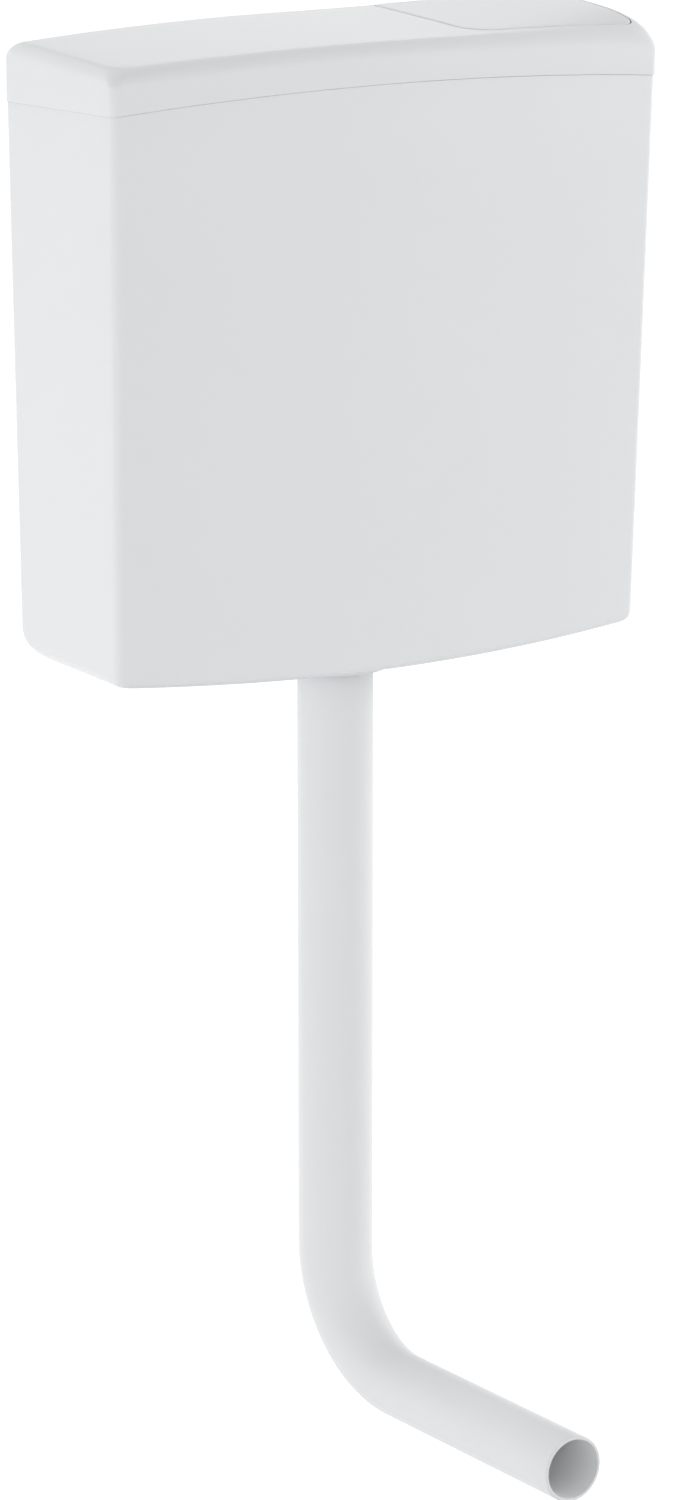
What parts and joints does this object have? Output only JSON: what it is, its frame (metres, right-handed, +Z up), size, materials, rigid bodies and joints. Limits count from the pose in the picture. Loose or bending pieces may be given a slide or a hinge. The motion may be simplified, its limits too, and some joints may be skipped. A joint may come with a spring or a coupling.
{
  "type": "wall-hung toilet cistern",
  "caption": "White wall-hung plastic toilet cistern with lift-off arched lid, flush key on the right, flush valve, float fill valve and a turning flush bend.",
  "frame": {"origin": "midway between the two wall fixing holes, on the wall plane", "axes": "+Z up, front faces -Y, +X to the right seen from the front, wall plane is y = 0"},
  "size_m": [0.4206, 0.3359, 0.9228],
  "materials": {
    "white_plastic": "glossy moulded",
    "foam": "foamed polystyrene",
    "valve_plastic": "moulded acetal",
    "grey_plastic": "moulded",
    "blue_plastic": "moulded",
    "rubber": "smooth",
    "steel": "drawn wire"
  },
  "bodies": {
    "tank": {"tank": "white_plastic", "tank_liner": "foam", "lever_bracket": "valve_plastic", "lever_pin": "steel", "valve_seat": "valve_plastic", "outlet_gasket": "rubber", "outlet_nut": "white_plastic", "pipe_seal": "rubber", "valve_basket": "blue_plastic", "fill_valve_body": "valve_plastic", "inlet_washer": "rubber", "inlet_nut": "white_plastic", "diaphragm": "rubber", "fill_valve_cap": "grey_plastic", "arm_pin": "steel"},
    "lid": {"lid": "white_plastic", "key_axle": "steel"},
    "flush_key": {"flush_key": "white_plastic", "key_plunger": "valve_plastic"},
    "lift_lever": {"lift_lever": "grey_plastic"},
    "valve_stem": {"overflow_tube": "valve_plastic", "flush_seal": "rubber", "seal_retainer": "grey_plastic", "valve_float": "foam", "lift_yoke": "grey_plastic"},
    "float": {"float_cup": "foam", "float_rod": "steel"},
    "float_arm": {"float_arm": "blue_plastic"},
    "flush_pipe": {"flush_pipe": "white_plastic"}
  },
  "joints": [
    {"name": "lid_lift", "type": "slide", "parent": "tank", "child": "lid", "axis": [0, 0, 1], "range_m": [0, 0.08]},
    {"name": "key_press", "type": "hinge", "parent": "lid", "child": "flush_key", "pos_m": [0.0735, -0.0695, 0.06127], "axis": [0, 1, 0], "range_deg": [0, 4.2], "stiffness_Nm_per_rad": 1},
    {"name": "lever_rock", "type": "hinge", "parent": "tank", "child": "lift_lever", "pos_m": [0.104, -0.07, 0.027], "axis": [0, 1, 0], "range_deg": [0, 10.5]},
    {"name": "valve_lift", "type": "slide", "parent": "tank", "child": "valve_stem", "axis": [0, 0, 1], "range_m": [0, 0.0194]},
    {"name": "float_rise", "type": "slide", "parent": "tank", "child": "float", "axis": [0, 0, 1], "range_m": [0, 0.014]},
    {"name": "arm_swing", "type": "hinge", "parent": "tank", "child": "float_arm", "pos_m": [0.14893, -0.07, 0.012], "axis": [-1, 0, 0], "range_deg": [0, 28.6]},
    {"name": "pipe_turn", "type": "hinge", "parent": "tank", "child": "flush_pipe", "pos_m": [0, -0.07, -0.525], "axis": [0, 0, 1], "range_deg": [-95, 85]}
  ],
  "couplings": [
    {"joint": "lever_rock", "follows": "key_press", "ratio": 2.495},
    {"joint": "valve_lift", "follows": "key_press", "m_per_rad": 0.2641},
    {"joint": "arm_swing", "follows": "float_rise", "rad_per_m": 35.65}
  ]
}
